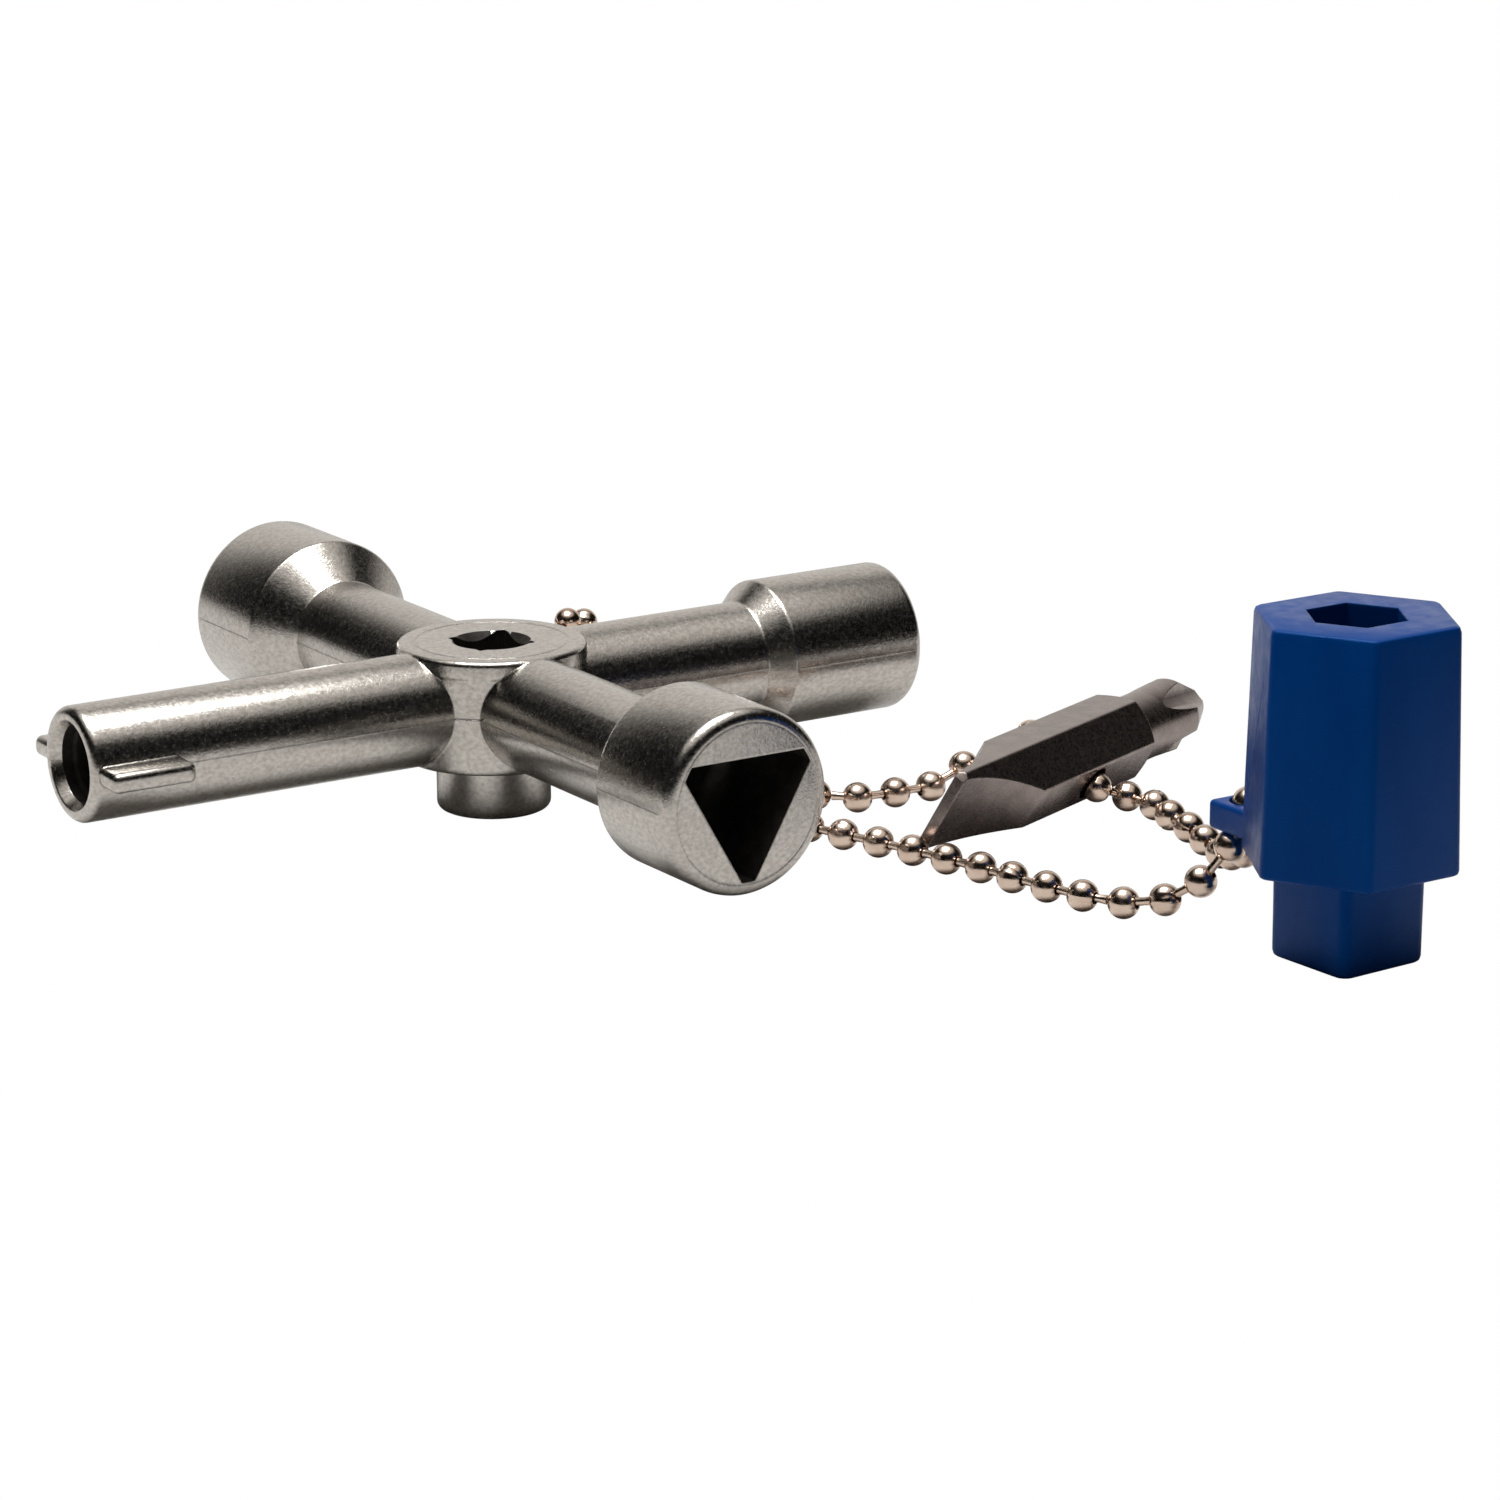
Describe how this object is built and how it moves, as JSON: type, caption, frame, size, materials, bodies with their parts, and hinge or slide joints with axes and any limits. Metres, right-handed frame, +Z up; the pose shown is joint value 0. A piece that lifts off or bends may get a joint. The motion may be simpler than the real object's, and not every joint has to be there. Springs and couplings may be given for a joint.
{
  "type": "radiator bleed key",
  "caption": "Four-armed cast service key with square, triangular and barrel ends, and a bead chain loop that carries a reversible driver bit and a plastic hexagon adapter.",
  "frame": {"origin": "middle of the whole object's footprint, on the plane it rests on", "axes": "+Z up out of the resting plane along the key's hub, +X along the key's small square head, +Y along its large square head"},
  "size_m": [0.0922, 0.1172, 0.0249],
  "materials": {
    "zinc": "satin die-cast zinc alloy, nickel plated, fine grain",
    "nickel": "bright nickel-plated bead chain",
    "steel": "dark phosphated tool steel with ground blade",
    "plastic": "moulded blue plastic, satin"
  },
  "bodies": {
    "key": {"key_body": "zinc"},
    "chain_near": {"chain_back_near_1": "nickel", "chain_bit_thread_1": "nickel", "chain_connector": "nickel", "chain_front_near_1": "nickel", "chain_head_run_1": "nickel", "chain_lug_drop_1": "nickel", "chain_lug_drop_2": "nickel", "chain_lug_drop_3": "nickel", "chain_slack_bend_1": "nickel", "chain_slack_home_1": "nickel", "chain_slack_home_2": "nickel", "chain_slack_home_3": "nickel", "chain_slack_home_4": "nickel", "chain_slack_out_1": "nickel", "chain_slack_out_2": "nickel", "chain_slack_out_3": "nickel", "chain_slack_round_1": "nickel", "chain_slack_round_2": "nickel"},
    "bit": {"driver_bit": "steel"},
    "chain_mid": {"chain_back_far_1": "nickel", "chain_front_far_1": "nickel"},
    "chain_tip": {"chain_tab_fall_1": "nickel", "chain_tab_fall_2": "nickel", "chain_tab_rise_1": "nickel"},
    "adapter": {"adapter": "plastic"}
  },
  "joints": [
    {"name": "chain_swing", "type": "hinge", "parent": "key", "child": "chain_near", "pos_m": [-0.0025, 0.02307, 0.0081], "axis": [0, 0, 1], "range_deg": [-16, 20]},
    {"name": "bit_turn", "type": "hinge", "parent": "chain_near", "child": "bit", "pos_m": [0.02665, -0.01008, 0.00419], "axis": [-0.3314, 0.8001, 0.5], "range_deg": [-45, 45]},
    {"name": "chain_fold_near", "type": "hinge", "parent": "chain_near", "child": "chain_mid", "pos_m": [0.0197, -0.02078, 0.0012], "axis": [-1, 0, 0], "range_deg": [0, 40]},
    {"name": "chain_fold_far", "type": "hinge", "parent": "chain_mid", "child": "chain_tip", "pos_m": [0.0196, -0.03241, 0.0014], "axis": [-0.9734, -0.2276, -0.028], "range_deg": [0, 40]},
    {"name": "adapter_swing", "type": "hinge", "parent": "chain_tip", "child": "adapter", "pos_m": [0.0186, -0.0429, 0.0088], "axis": [0, 0, 1], "range_deg": [-40, 12]}
  ]
}
